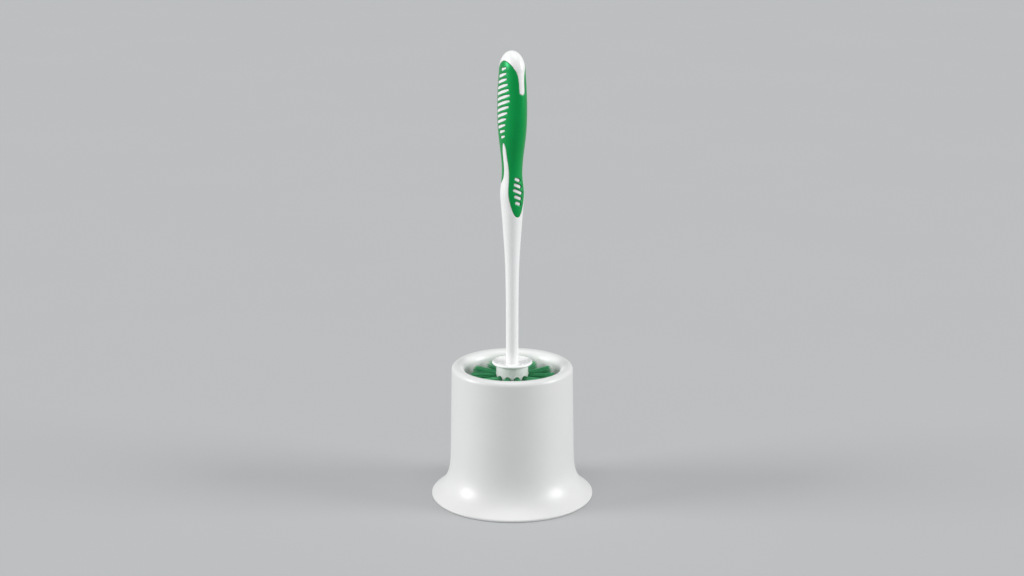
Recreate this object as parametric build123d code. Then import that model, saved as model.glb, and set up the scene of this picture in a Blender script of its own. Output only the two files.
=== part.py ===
"""Toilet bowl brush standing in its bell-shaped caddy.

The brush is a white handle with a green soft-grip overmould, pressed into a round brush head
whose green bristle tufts are each held by a metal anchor. The caddy is one white moulding: a
flared skirt, a rolled rim and an inner cup.

Frame: origin at the centre of the caddy's foot ring, +Z up, the thumb side of the grip
towards -Y. Units are millimetres.
"""
from build123d import *
import math
import os

os.makedirs("parts", exist_ok=True)

# ---------------------------------------------------------------- driving dimensions
# Caddy
RIM_HEIGHT = 117.6          # crest of the rolled rim
RIM_RADIUS = 52.2           # outer wall just under the roll
OPENING_RADIUS = 41.0       # mouth of the cup
CREST_SHARE = 0.62          # how far out across the rim its crest lies
BASE_RADIUS = 70.3          # outer edge of the foot
FLARE_HEIGHT = 53.1         # where the skirt starts to flare
FLARE_RADIUS = 53.3         # outer wall at that height
FLARE_POWER = 4.8           # how late and how fast the flare opens
WALL = 2.2                  # moulded wall thickness
FOOT_LAND = 2.0             # short upright land at the foot's outer edge
FLOOR_TOP = 8.6             # inside floor of the cup
FLOOR_RADIUS = 40.0         # cup radius at the floor, after draft
CUP_CORNER = 7.0            # inside corner radius at the floor

# Handle
SHAFT_BOTTOM = 118.3        # shoulder that sits in the dished flange
SHAFT_TOP = 172.0           # the shaft is a plain rod up to here
SHAFT_RADIUS = 5.4
DOME_BASE = 371.4           # where the rounded end begins
DOME_HEIGHT = 16.6
GRIP_THICKNESS = 1.8        # soft rubber over the core
SLOT_RECESS = 0.6           # how far the core lies below the rubber inside a slot
SPIGOT_RADIUS = 4.0
SPIGOT_LENGTH = 26.0
GLUE_GAP = 0.05             # radial gap of the bonded spigot

# Each station: height, half width seen three-quarter on, depth ratio (front to back).
HANDLE_STATIONS = [
    (SHAFT_TOP, SHAFT_RADIUS, 1.00),
    (190.0, 5.65, 1.00),
    (208.0, 6.1, 1.00),
    (228.0, 7.3, 1.00),
    (248.0, 8.75, 1.00),
    (259.0, 9.6, 0.98),
    (269.0, 10.15, 0.96),
    (279.0, 9.15, 0.97),
    (289.0, 8.7, 1.00),
    (302.0, 9.7, 1.07),
    (317.0, 11.5, 1.17),
    (334.0, 12.4, 1.25),
    (353.0, 12.15, 1.27),
    (DOME_BASE, 11.0, 1.27),
]
VIEW_TURN = math.radians(33.0)   # the half widths are measured this far off the front

# Soft grip outline, seen from the side: (front-to-back position, height)
ARCH_FRONT = [(-14.2, 365.6), (-13.2, 370.8), (-11.1, 374.9), (-6.8, 378.6)]
ARCH_TOP = (0.0, 380.3)
ARCH_BACK = [(5.6, 377.6), (9.8, 372.2), (12.8, 365.0), (14.6, 356.0)]
WEDGE_BACK = [(11.0, 271.5), (5.2, 276.2), (0.6, 280.6), (-0.7, 286.5), (-0.5, 294.0), (-0.1, 301.0),
              (-0.4, 307.5)]
WEDGE_TOP = (-2.0, 311.8)
WEDGE_FRONT = [(-3.6, 309.2), (-4.2, 304.0), (-4.7, 297.0), (-5.3, 287.0), (-6.0, 272.0), (-7.2, 258.5),
               (-8.2, 251.5), (-9.0, 247.6)]
WINDOW_TIP = 352.9          # white finger-shaped window at the front
WINDOW_RADIUS = 2.5
WINDOW_EDGE = [(2.5, 355.4), (2.5, 360.2), (2.8, 365.8), (3.7, 370.8), (5.8, 375.2)]

# Side ladder of slots, each thin at its front end and full from its shoulder to its back end
LADDER_COUNT = 13
LADDER_TOP = 373.3
LADDER_PITCH = 4.72
LADDER_TIP = 0.6            # end radius at the front
LADDER_END = 1.15           # radius from the shoulder to the back end
LADDER_SHOULDER = 4.5       # from the front end's centre to the shoulder's
LADDER_SLANT = 18.5         # degrees, rising towards the front
LADDER_MIDDLE = 5.6         # index of the longest slot
LADDER_FRONT = 4.0          # reach towards the front, at the ladder's ends
LADDER_SWELL = 5.7          # extra reach towards the front in its middle
LADDER_SPREAD = 3.3         # how many slots the swell takes in
LADDER_BACK = 11.0          # reach towards the back in its middle
LADDER_ROUND = 5.9          # slots from the middle to where the back edge closes in

# Thumb pad slots
THUMB_COUNT = 5
THUMB_TOP = 280.9
THUMB_PITCH = 5.05
THUMB_SLOT = 2.7
THUMB_SLANT = -24.0
THUMB_SHORT = 3.0           # half length of the outer slots
THUMB_SWELL = 1.9           # extra half length of the middle slot

# Brush head
HEAD_RADIUS = 13.75
HEAD_SHOULDER = 118.5       # underside of the splash flange
HEAD_DOME = 46.0            # where the cylinder turns into a half ball
FLANGE_RADIUS = 17.3
FLANGE_EDGE = 2.4           # thickness of the flange edge

# Tufts: a round bundle that fans out from its hole
TUFT_ROOT = 2.4
TUFT_TIP = 4.8
HOLE_DEPTH = 5.0
HOLE_GAP = 0.04
TIP_REACH = 36.8            # from the head's axis to the trimmed ends
TIP_EDGE = 0.7
RING_COUNT = 8
RING_TOP = 107.4
RING_PITCH = 8.5
RING_TUFTS = 11
FIRST_TURN = -33.0          # the gap between two tufts of the first ring faces this way
DOME_RINGS = [(68.0, 9), (35.0, 5), (0.0, 1)]    # degrees off straight down, tufts

# Anchors: flat wire pieces across the bottom of each hole
ANCHOR_THICK = 0.4
ANCHOR_WIDE = 3.9
ANCHOR_TALL = 1.6
ANCHOR_LIFT = 0.7           # above the bottom of the hole

BIG = 60.0                  # longer than anything it cuts through


# ---------------------------------------------------------------- helpers
def save(node, shape):
    """Write one node, whose solids may be several identical small pieces."""
    shape.label = node
    export_step(shape, f"parts/{node}.step")


def turned(edges):
    """Spin a closed outline, drawn as (radius, height), about the vertical axis."""
    return revolve(Plane.XZ * make_face(edges), Axis.Z)


# ---------------------------------------------------------------- caddy
def skirt_radius(z):
    """Outer radius: a straight draft, plus a flare that grows as a power of the depth."""
    draft = (FLARE_RADIUS - RIM_RADIUS) / (RIM_HEIGHT - FLARE_HEIGHT)
    wall = FLARE_RADIUS + (FLARE_HEIGHT - z) * draft
    foot_wall = FLARE_RADIUS + FLARE_HEIGHT * draft
    depth = max(0.0, (FLARE_HEIGHT - z) / (FLARE_HEIGHT - FOOT_LAND))
    return wall + (BASE_RADIUS - foot_wall) * depth ** FLARE_POWER


def skirt_inner_radius(z):
    """Inner radius of the skirt: the wall measured square to the outer face."""
    step = 0.01
    slope = (skirt_radius(z + step) - skirt_radius(z)) / step
    return skirt_radius(z) - WALL * math.hypot(1.0, slope)


def caddy():
    crest = OPENING_RADIUS + (RIM_RADIUS - OPENING_RADIUS) * CREST_SHARE
    outer_roll = RIM_RADIUS - crest
    inner_roll = crest - OPENING_RADIUS
    outer_z = RIM_HEIGHT - outer_roll
    inner_z = RIM_HEIGHT - inner_roll
    heights = [FOOT_LAND + (FLARE_HEIGHT - FOOT_LAND) * k / 9 for k in range(10)]
    flare_out = [(skirt_radius(z), z) for z in heights]
    flare_in = [(skirt_inner_radius(z), z) for z in heights[1:]]
    foot_in = (skirt_inner_radius(FOOT_LAND) - 0.3, 0.0)
    cup_out = FLOOR_RADIUS + WALL
    corner_z = FLOOR_TOP + CUP_CORNER
    outline = [
        Line((flare_out[0][0], 0), flare_out[0]),
        Spline(*flare_out),
        Line(flare_out[-1], (RIM_RADIUS, outer_z)),
        CenterArc((crest, outer_z), outer_roll, 0, 90),
        CenterArc((crest, inner_z), inner_roll, 90, 90),
        Line((OPENING_RADIUS, inner_z), (FLOOR_RADIUS, corner_z)),
        CenterArc((FLOOR_RADIUS - CUP_CORNER, corner_z), CUP_CORNER, 0, -90),
        Line((FLOOR_RADIUS - CUP_CORNER, FLOOR_TOP), (0, FLOOR_TOP)),
        Line((0, FLOOR_TOP), (0, FLOOR_TOP - WALL)),
        Line((0, FLOOR_TOP - WALL), (FLOOR_RADIUS - CUP_CORNER, FLOOR_TOP - WALL)),
        CenterArc((FLOOR_RADIUS - CUP_CORNER, corner_z), CUP_CORNER + WALL, -90, 90),
        Line((cup_out, corner_z), (OPENING_RADIUS + WALL, inner_z)),
        CenterArc((crest, inner_z), inner_roll - WALL, 180, -90),
        CenterArc((crest, outer_z), outer_roll - WALL, 90, -90),
        Line((RIM_RADIUS - WALL, outer_z), flare_in[-1]),
        Spline(*flare_in[::-1]),
        Line(flare_in[0], foot_in),
        Line(foot_in, (flare_out[0][0], 0)),
    ]
    return turned(outline)


# ---------------------------------------------------------------- handle form
def semi_axes(half, ratio):
    """Side and front semi-axes of an oval whose half width, seen VIEW_TURN off, is half."""
    front = half * ratio
    side_part = half ** 2 - (front * math.sin(VIEW_TURN)) ** 2
    side = math.sqrt(side_part) / math.cos(VIEW_TURN)
    return side, front


def handle_form(inset=0.0):
    """The smooth outside of the handle, or the same form drawn in by inset."""
    sections = []
    for height, half, ratio in HANDLE_STATIONS:
        side, front = semi_axes(half, ratio)
        sections.append(Pos(0, 0, height) * Ellipse(side - inset, front - inset))
    stem = loft(sections)
    side, front = semi_axes(*HANDLE_STATIONS[-1][1:])
    ball = scale(Sphere(1), by=(side - inset, front - inset, DOME_HEIGHT - inset))
    upper = Pos(0, 0, BIG / 2) * Box(BIG, BIG, BIG)
    rod_length = SHAFT_TOP - SHAFT_BOTTOM
    rod = Pos(0, 0, SHAFT_BOTTOM + rod_length / 2) * Cylinder(SHAFT_RADIUS - inset, rod_length)
    return rod + stem + Pos(0, 0, DOME_BASE) * (ball & upper)


# ---------------------------------------------------------------- grip outline and slots
def from_side(edges):
    """A solid of the given side-view outline, right through the handle from side to side."""
    face = make_face(edges)
    return extrude(Plane.YZ * face, BIG / 2, both=True)


def grip_zone():
    """Where the rubber lies, seen from the side: an arch on top, two tongues below."""
    outside = BIG / 2
    front_top, back_top = ARCH_FRONT[0], ARCH_BACK[-1]
    front_end, back_end = WEDGE_FRONT[-1], WEDGE_BACK[0]
    return from_side([
        Spline(*ARCH_FRONT, ARCH_TOP, *ARCH_BACK),
        Line(back_top, (outside, back_top[1])),
        Line((outside, back_top[1]), (outside, back_end[1])),
        Line((outside, back_end[1]), back_end),
        Spline(*WEDGE_BACK, WEDGE_TOP, *WEDGE_FRONT),
        Line(front_end, (-outside, front_end[1])),
        Line((-outside, front_end[1]), (-outside, front_top[1])),
        Line((-outside, front_top[1]), front_top),
    ])


def front_window():
    """The white finger at the front: a round tip that widens upwards into the dome."""
    tip_z = WINDOW_TIP + WINDOW_RADIUS
    mirrored = [(-x, z) for x, z in WINDOW_EDGE]
    face = make_face([
        CenterArc((0, tip_z), WINDOW_RADIUS, 180, 180),
        Spline(*WINDOW_EDGE),
        Line(WINDOW_EDGE[-1], mirrored[-1]),
        Spline(*mirrored[::-1]),
    ])
    return extrude(Plane.XZ * face, BIG / 2)


def ladder_reach(k):
    """How far slot k reaches towards the front and towards the back from the handle's middle."""
    off = k - LADDER_MIDDLE
    front = LADDER_FRONT + LADDER_SWELL * math.exp(-((off / LADDER_SPREAD) ** 2))
    back = LADDER_BACK * (1 - (off / LADDER_ROUND) ** 4)
    return front, max(back, 1.0)


def ladder_slots():
    """Slanted slots on both flanks, longest a little above the middle."""
    slots = []
    for k in range(LADDER_COUNT):
        front, back = ladder_reach(k)
        tip, end = LADDER_TIP - front, back - LADDER_END
        discs = [Pos(tip, 0) * Circle(LADDER_TIP), Pos(end, 0) * Circle(LADDER_END)]
        if end - tip > LADDER_SHOULDER:
            discs.append(Pos(tip + LADDER_SHOULDER, 0) * Circle(LADDER_END))
        face = make_hull([edge for disc in discs for edge in disc.edges()])
        place = Pos(0, LADDER_TOP - k * LADDER_PITCH) * Rot(0, 0, -LADDER_SLANT)
        slots.append(extrude(Plane.YZ * (place * face), BIG / 2, both=True))
    return slots


def thumb_slots():
    """Short slanted slots across the thumb pad, longest in the middle."""
    slots = []
    middle = (THUMB_COUNT - 1) / 2
    for k in range(THUMB_COUNT):
        half = THUMB_SHORT + THUMB_SWELL * (1 - abs(k - middle) / middle)
        face = SlotOverall(2 * half, THUMB_SLOT)
        place = Pos(0, THUMB_TOP - k * THUMB_PITCH) * Rot(0, 0, THUMB_SLANT)
        slots.append(extrude(Plane.XZ * (place * face), BIG / 2))
    return slots


def handle_parts():
    """The white core and the soft grip, which fill the handle's form between them."""
    form = handle_form()
    slots = ladder_slots() + thumb_slots()
    sleeve = (form - handle_form(GRIP_THICKNESS)) & grip_zone()
    grip = sleeve - front_window() - slots
    recess = (form - handle_form(SLOT_RECESS)) & slots
    spigot = Pos(0, 0, SHAFT_BOTTOM - SPIGOT_LENGTH / 2) * Cylinder(SPIGOT_RADIUS, SPIGOT_LENGTH)
    core = (form + spigot) - grip - recess
    return core, grip


# ---------------------------------------------------------------- brush head and tufts
def tuft_places():
    """For each row: the frames of its tufts, at the head's surface, +Z along the tuft."""
    rows = []
    for ring in range(RING_COUNT):
        height = RING_TOP - ring * RING_PITCH
        stagger = 0.5 * ((ring + 1) % 2)
        row = []
        for k in range(RING_TUFTS):
            turn = FIRST_TURN - 90.0 + 360.0 * (k + stagger) / RING_TUFTS
            row.append(Pos(0, 0, height) * Rot(0, 0, turn) * Rot(0, 90, 0) * Pos(0, 0, HEAD_RADIUS))
        rows.append(row)
    for tilt, count in DOME_RINGS:
        row = []
        for k in range(count):
            turn = 360.0 * k / count
            aim = Rot(0, 0, turn) * Rot(0, 180 - tilt, 0)
            row.append(Pos(0, 0, HEAD_DOME) * aim * Pos(0, 0, HEAD_RADIUS))
        rows.append(row)
    return rows


def tuft():
    """One bundle: a straight root in its hole, then a fan with a slightly rounded end."""
    length = TIP_REACH - HEAD_RADIUS
    body = turned([
        Line((0, -HOLE_DEPTH), (TUFT_ROOT, -HOLE_DEPTH)),
        Line((TUFT_ROOT, -HOLE_DEPTH), (TUFT_ROOT, 0)),
        Line((TUFT_ROOT, 0), (TUFT_TIP, length - TIP_EDGE)),
        Line((TUFT_TIP, length - TIP_EDGE), (TUFT_TIP - TIP_EDGE, length)),
        Line((TUFT_TIP - TIP_EDGE, length), (0, length)),
        Line((0, length), (0, -HOLE_DEPTH)),
    ])
    return body - anchor(HOLE_GAP)


def anchor(gap=0.0):
    """The flat wire that the bundle is folded round, near the bottom of its hole."""
    height = -HOLE_DEPTH + ANCHOR_LIFT + ANCHOR_TALL / 2
    return Pos(0, 0, height) * Box(ANCHOR_THICK + gap, ANCHOR_WIDE + gap, ANCHOR_TALL + gap)


def brush_head(rows):
    """A block with a half-ball end under a flange that is dished down to the shaft's shoulder."""
    edge_top = HEAD_SHOULDER + FLANGE_EDGE
    seat = SHAFT_BOTTOM
    dish = SHAFT_RADIUS + 0.6
    round_edge = FLANGE_EDGE / 2
    corner = 1.2
    body = turned([
        Line((0, seat), (dish, seat)),
        Line((dish, seat), (FLANGE_RADIUS - round_edge, edge_top)),
        CenterArc((FLANGE_RADIUS - round_edge, edge_top - round_edge), round_edge, 90, -180),
        Line((FLANGE_RADIUS - round_edge, HEAD_SHOULDER), (HEAD_RADIUS + corner, HEAD_SHOULDER)),
        CenterArc((HEAD_RADIUS + corner, HEAD_SHOULDER - corner), corner, 90, 90),
        Line((HEAD_RADIUS, HEAD_SHOULDER - corner), (HEAD_RADIUS, HEAD_DOME)),
        CenterArc((0, HEAD_DOME), HEAD_RADIUS, 0, -90),
        Line((0, HEAD_DOME - HEAD_RADIUS), (0, seat)),
    ])
    socket_bottom = SHAFT_BOTTOM - SPIGOT_LENGTH - GLUE_GAP
    socket = Pos(0, 0, (socket_bottom + seat) / 2) * Cylinder(SPIGOT_RADIUS + GLUE_GAP, seat - socket_bottom)
    hole = Pos(0, 0, (BIG / 6 - HOLE_DEPTH) / 2) * Cylinder(TUFT_ROOT + HOLE_GAP, HOLE_DEPTH + BIG / 6)
    holes = [place * hole for row in rows for place in row]
    return body - socket - holes


# ---------------------------------------------------------------- build
save("caddy", caddy())

core, grip = handle_parts()
save("handle_core", core)
save("soft_grip", grip)

tuft_rows = tuft_places()
save("brush_head", brush_head(tuft_rows))
one_tuft, one_anchor = tuft(), anchor()
for number, row in enumerate(tuft_rows, start=1):
    save(f"tufts_row_{number:02d}", Compound(children=[place * one_tuft for place in row]))
    save(f"anchors_row_{number:02d}", Compound(children=[place * one_anchor for place in row]))
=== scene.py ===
"""Toilet bowl brush standing in its bell-shaped caddy: the finished surfaces and finishes.

Lengths are millimetres in the shape code and become metres when a mesh is made. +Z is up, the
thumb side of the grip faces -Y, and the origin is the centre of the caddy's foot.
"""
import math

import bpy
import numpy as np
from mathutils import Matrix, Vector


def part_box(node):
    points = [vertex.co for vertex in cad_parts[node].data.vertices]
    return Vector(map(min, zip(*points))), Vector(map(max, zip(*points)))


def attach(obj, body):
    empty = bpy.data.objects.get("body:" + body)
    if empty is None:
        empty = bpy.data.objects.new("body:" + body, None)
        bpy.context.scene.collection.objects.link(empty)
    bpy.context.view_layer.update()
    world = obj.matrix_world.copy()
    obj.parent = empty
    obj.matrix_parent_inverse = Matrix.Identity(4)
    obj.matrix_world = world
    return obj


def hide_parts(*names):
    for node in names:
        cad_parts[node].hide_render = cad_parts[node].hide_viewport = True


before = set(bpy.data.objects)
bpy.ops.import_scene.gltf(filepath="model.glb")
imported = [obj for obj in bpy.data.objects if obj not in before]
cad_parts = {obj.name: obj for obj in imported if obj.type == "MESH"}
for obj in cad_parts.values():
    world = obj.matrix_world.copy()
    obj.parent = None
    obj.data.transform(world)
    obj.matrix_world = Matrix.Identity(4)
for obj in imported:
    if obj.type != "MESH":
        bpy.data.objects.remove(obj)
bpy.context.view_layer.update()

MM = 0.001
rng = np.random.default_rng(40)

# ---------------------------------------------------------------- sizes, millimetres
# Caddy
CADDY_TOP_CORNER = np.array(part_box("caddy")[1]) / MM
RIM_HEIGHT = CADDY_TOP_CORNER[2]
RIM_RADIUS = 52.2
OPENING_RADIUS = 41.0        # mouth of the cup
CREST_SHARE = 0.62           # how far out across the rim its crest lies
BASE_RADIUS = CADDY_TOP_CORNER[:2].min()
FLARE_HEIGHT = 53.1          # where the skirt starts to flare
FLARE_RADIUS = 53.3          # radius of the skirt there
FLARE_POWER = 4.8            # how late and how sharply the flare turns outward
WALL = 2.2
FOOT_LAND = 2.0              # height of the foot's upright edge
FOOT_INSET = 0.1             # how far that edge stays inside BASE_RADIUS
FLOOR_TOP = 8.6              # inside floor of the cup
FLOOR_RADIUS = 40.0          # radius of the cup above its bottom corner
CUP_CORNER = 7.0             # radius of that corner
CUP_MIDDLE = 1.0             # radius of the hole that the poles close
CADDY_COLUMNS = 288          # points round the caddy

# Handle
SHAFT_BOTTOM = 118.3
SHAFT_TOP = 172.0            # where the round shaft starts to swell
SHAFT_RADIUS = 5.4
DOME_BASE = 371.4
DOME_HEIGHT = 16.6
SPIGOT_RADIUS = 4.0
SPIGOT_LENGTH = 26.0
GRIP_THICKNESS = 1.8
GRIP_BOTTOM = 244.0          # just below the rubber; the close rows of points begin here
CORE_COLUMNS, CORE_STEP = 192, 0.42     # points round the white core, and from row to row
GRIP_COLUMNS, GRIP_STEP = 216, 0.36     # and of the rubber
VIEW_TURN = math.radians(33.0)          # the view from which the half widths below are given

# Height, half width seen VIEW_TURN off the front, and the front-to-back semi-axis over that width
HANDLE_STATIONS = np.array([
    (SHAFT_TOP, SHAFT_RADIUS, 1.00),
    (190.0, 5.65, 1.00),
    (208.0, 6.1, 1.00),
    (228.0, 7.3, 1.00),
    (248.0, 8.75, 1.00),
    (259.0, 9.6, 0.98),
    (269.0, 10.15, 0.96),
    (279.0, 9.15, 0.97),
    (289.0, 8.7, 1.00),
    (302.0, 9.7, 1.07),
    (317.0, 11.5, 1.17),
    (334.0, 12.4, 1.25),
    (353.0, 12.15, 1.27),
    (DOME_BASE, 11.0, 1.27),
])

# Soft grip: outline in its side view (front-to-back position, height), window in its front view
ARCH_FRONT = [(-14.2, 365.6), (-13.2, 370.8), (-11.1, 374.9), (-6.8, 378.6)]
ARCH_TOP = (0.0, 380.3)
ARCH_BACK = [(5.6, 377.6), (9.8, 372.2), (12.8, 365.0), (14.6, 356.0)]
WEDGE_BACK = [(11.0, 271.5), (5.2, 276.2), (0.6, 280.6), (-0.7, 286.5), (-0.5, 294.0), (-0.1, 301.0),
              (-0.4, 307.5)]
WEDGE_TOP = (-2.0, 311.8)
WEDGE_FRONT = [(-3.6, 309.2), (-4.2, 304.0), (-4.7, 297.0), (-5.3, 287.0), (-6.0, 272.0), (-7.2, 258.5),
               (-8.2, 251.5), (-9.0, 247.6)]
WINDOW_TIP = 352.9
WINDOW_RADIUS = 2.5
WINDOW_EDGE = [(2.5, 355.4), (2.5, 360.2), (2.8, 365.8), (3.7, 370.8), (5.8, 375.2)]

# Ladder slots on both flanks, thin at the front end, full from the shoulder to the back end.
# Positions run from the handle's axis in the side view.
LADDER_COUNT = 13
LADDER_TOP = 373.3          # height at which the top slot crosses the axis
LADDER_PITCH = 4.72
LADDER_TIP = 0.6            # radius of the thin end
LADDER_END = 1.15           # radius of the full part
LADDER_SHOULDER = 4.5       # from the thin end to the full part
LADDER_SLANT = math.radians(18.5)       # fall towards the back
LADDER_MIDDLE = 5.6         # place of the longest slots, counted from 0 at the top
LADDER_FRONT = 4.0          # reach of the front ends away from the middle
LADDER_SWELL = 5.7          # how much further they reach at the middle
LADDER_SPREAD = 3.3         # slots over which that swell fades
LADDER_BACK = 11.0          # reach of the back ends at the middle
LADDER_ROUND = 5.9          # slots from the middle to where the back ends close in on the axis
LADDER_LEAST_BACK = 1.0     # least reach of a back end

# Thumb pad slots, in the front view
THUMB_COUNT = 5
THUMB_TOP = 280.9           # height of the top slot
THUMB_PITCH = 5.05
THUMB_SLOT = 2.7            # width
THUMB_SLANT = math.radians(-24.0)       # fall towards +X
THUMB_SHORT = 3.0           # half length of the end slots
THUMB_SWELL = 1.9           # how much more the middle slot has

# Depths below the handle's form
EDGE_ROUND = 0.7            # how far the rubber's rounded edge reaches in
EDGE_DROP = 0.38            # how far the rubber's rim lies below the form
EDGE_WALL = 0.22            # straight side below that rim
CORE_LIP = 0.12             # how far the white beside the rubber is rounded off
CORE_LIP_WIDTH = 0.3        # how far that rounding reaches out
LADDER_FLOOR = 0.35         # white floor of the ladder slots
THUMB_FLOOR = 1.0           # white floor of the thumb slots
PLATEAU_REACH = 0.35        # how far a slot's floor runs on under the rubber
UNDERCUT = 1.85             # the core everywhere else under the rubber

# Brush head
HEAD_RADIUS = 13.75
HEAD_SHOULDER = 118.5       # underside of the flange
HEAD_DOME = 46.0            # where the cylinder turns into a half ball
HEAD_FILLET = 1.2           # between the cylinder and the flange
HEAD_COLUMNS = 264          # points round the head
FLANGE_RADIUS = 17.3
FLANGE_EDGE = 2.4           # height of its rim
HOLE_DEPTH = 5.0
HOLE_DIP = 1.6              # how deep a hole shows between its filaments
HOLE_EDGE = 0.35            # half the width of the step down into a hole
COLLAR_RISE = 0.35          # height of the collar round a hole
COLLAR_WIDTH = 0.4

# Rings of tufts; every other ring on the cylinder is turned by half a step
TUFT_ROOT = 2.4             # radius of a tuft at the head
TUFT_TIP = 4.8              # and at its trimmed end
TIP_REACH = 36.8            # from the head's axis to the trimmed ends
RING_COUNT = 8
RING_TOP = 107.4
RING_PITCH = 8.5
RING_TUFTS = 11
FIRST_TURN = math.radians(-33.0)        # from the front to a tuft of the second ring
DOME_RINGS = [(68.0, 9), (35.0, 5), (0.0, 1)]     # degrees off straight down, and tufts

# Filaments of a tuft
FILAMENTS = 64
FILAMENT_RADIUS = 0.2
FILAMENT_SIDES = 4
FILAMENT_STEPS = 9
FILAMENT_START = -0.72 * HOLE_DEPTH     # inner end, measured outward from the head's surface
FILAMENT_SCATTER = 0.05     # random part of a place in the bundle, of the bundle's radius
FILAMENT_SHORTFALL = 0.06   # most that a filament falls short at random, of its length
BUNDLE_CROWN = 0.9          # how much shorter the outermost filaments are
SPLAY_POWER = 1.12          # how the bundle widens along its length
CRIMP_HEIGHT = 0.22
CRIMP_LENGTH = 5.2
CRIMP_FREE = 6.0            # the crimp grows to its full height over this length
GOLDEN_TURN = math.pi * (3 - math.sqrt(5))        # places points evenly over a disc

# Studio floor
FLOOR_LEVEL = -0.02
FLOOR_INNER, FLOOR_OUTER = 50.0, 14000.0
FLOOR_RINGS, FLOOR_COLUMNS = 40, 96

FAR = 99.0                  # stands for no line near


# ---------------------------------------------------------------- mesh helpers
def add_mesh(name, points, faces, body, slot, stands_for, material, **values):
    """Make one piece from points in millimetres and its faces; values become point attributes."""
    mesh = bpy.data.meshes.new(name)
    mesh.from_pydata((points * MM).tolist(), [], faces)
    mesh.validate()
    mesh.polygons.foreach_set("use_smooth", np.ones(len(mesh.polygons), bool))
    for label, array in values.items():
        attribute = mesh.attributes.new(label, "FLOAT", "POINT")
        attribute.data.foreach_set("value", np.asarray(array, np.float32).ravel())
    mesh.materials.append(material)
    piece = bpy.data.objects.new(name, mesh)
    bpy.context.scene.collection.objects.link(piece)
    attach(piece, body)
    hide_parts(*stands_for)


def ring_faces(rows, columns):
    """Quads between neighbouring rows of points, closed round the columns."""
    r = np.arange(rows - 1)[:, None]
    c = np.arange(columns)[None, :]
    after = (c + 1) % columns
    quads = np.stack([r * columns + c, r * columns + after,
                      (r + 1) * columns + after, (r + 1) * columns + c], -1)
    return quads.reshape(-1, 4)


def capped(grid, bottom, top):
    """Points and faces of a grid of rings, closed by a fan to a pole point at each end."""
    rows, columns = grid.shape[:2]
    points = np.vstack([grid.reshape(-1, 3), bottom, top])
    quads = ring_faces(rows, columns)
    c = np.arange(columns)
    after = (c + 1) % columns
    low = np.stack([np.full(columns, rows * columns), after, c], -1)
    last = (rows - 1) * columns
    high = np.stack([np.full(columns, rows * columns + 1), last + c, last + after], -1)
    return points, quads.tolist() + low.tolist() + high.tolist()


def line(start, end, count):
    """Evenly spaced points of a straight run, without its last point."""
    share = np.arange(count)[:, None] / count
    return np.array(start) * (1 - share) + np.array(end) * share


def arc(centre, radius, start, end, count):
    """Points of a circular arc from one angle to another in degrees, without its last point."""
    angle = np.radians(start + (end - start) * np.arange(count) / count)
    return np.stack([centre[0] + radius * np.cos(angle), centre[1] + radius * np.sin(angle)], -1)


def spin(profile, columns):
    """Carry a (radius, height) profile round the upright axis: x = r sin t, y = -r cos t."""
    t = 2 * np.pi * np.arange(columns) / columns
    radius, height = profile[:, :1], profile[:, 1:]
    return np.stack([radius * np.sin(t), -radius * np.cos(t), height + 0 * t], -1)


def through(xs, ys, x):
    """Natural cubic spline through (xs, ys): solves for the bends so that slopes run on smoothly."""
    n = len(xs)
    h = np.diff(xs)
    matrix = np.eye(n)
    right = np.zeros(n)
    inner = np.arange(1, n - 1)
    matrix[inner, inner - 1] = h[:-1]
    matrix[inner, inner] = 2 * (h[:-1] + h[1:])
    matrix[inner, inner + 1] = h[1:]
    slopes = np.diff(ys) / h
    right[inner] = 6 * np.diff(slopes)
    bend = np.linalg.solve(matrix, right)
    k = np.clip(np.searchsorted(xs, x) - 1, 0, n - 2)
    a, b = xs[k + 1] - x, x - xs[k]
    cubic = (bend[k] * a ** 3 + bend[k + 1] * b ** 3) / (6 * h[k])
    straight = (ys[k] / h[k] - bend[k] * h[k] / 6) * a + (ys[k + 1] / h[k] - bend[k + 1] * h[k] / 6) * b
    return cubic + straight


def path_through(points, steps):
    """A smooth open curve through points, by a spline of each coordinate over the chord length."""
    p = np.array(points, float)
    chord = np.concatenate([[0], np.cumsum(np.hypot(*np.diff(p, axis=0).T))])
    s = np.linspace(0, chord[-1], steps)
    return np.stack([through(chord, p[:, 0], s), through(chord, p[:, 1], s)], -1)


def smooth_step(low, high, x):
    """0 below low, 1 above high, and an S-curve 3s^2 - 2s^3 between."""
    s = np.clip((x - low) / (high - low), 0, 1)
    return s * s * (3 - 2 * s)


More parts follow.
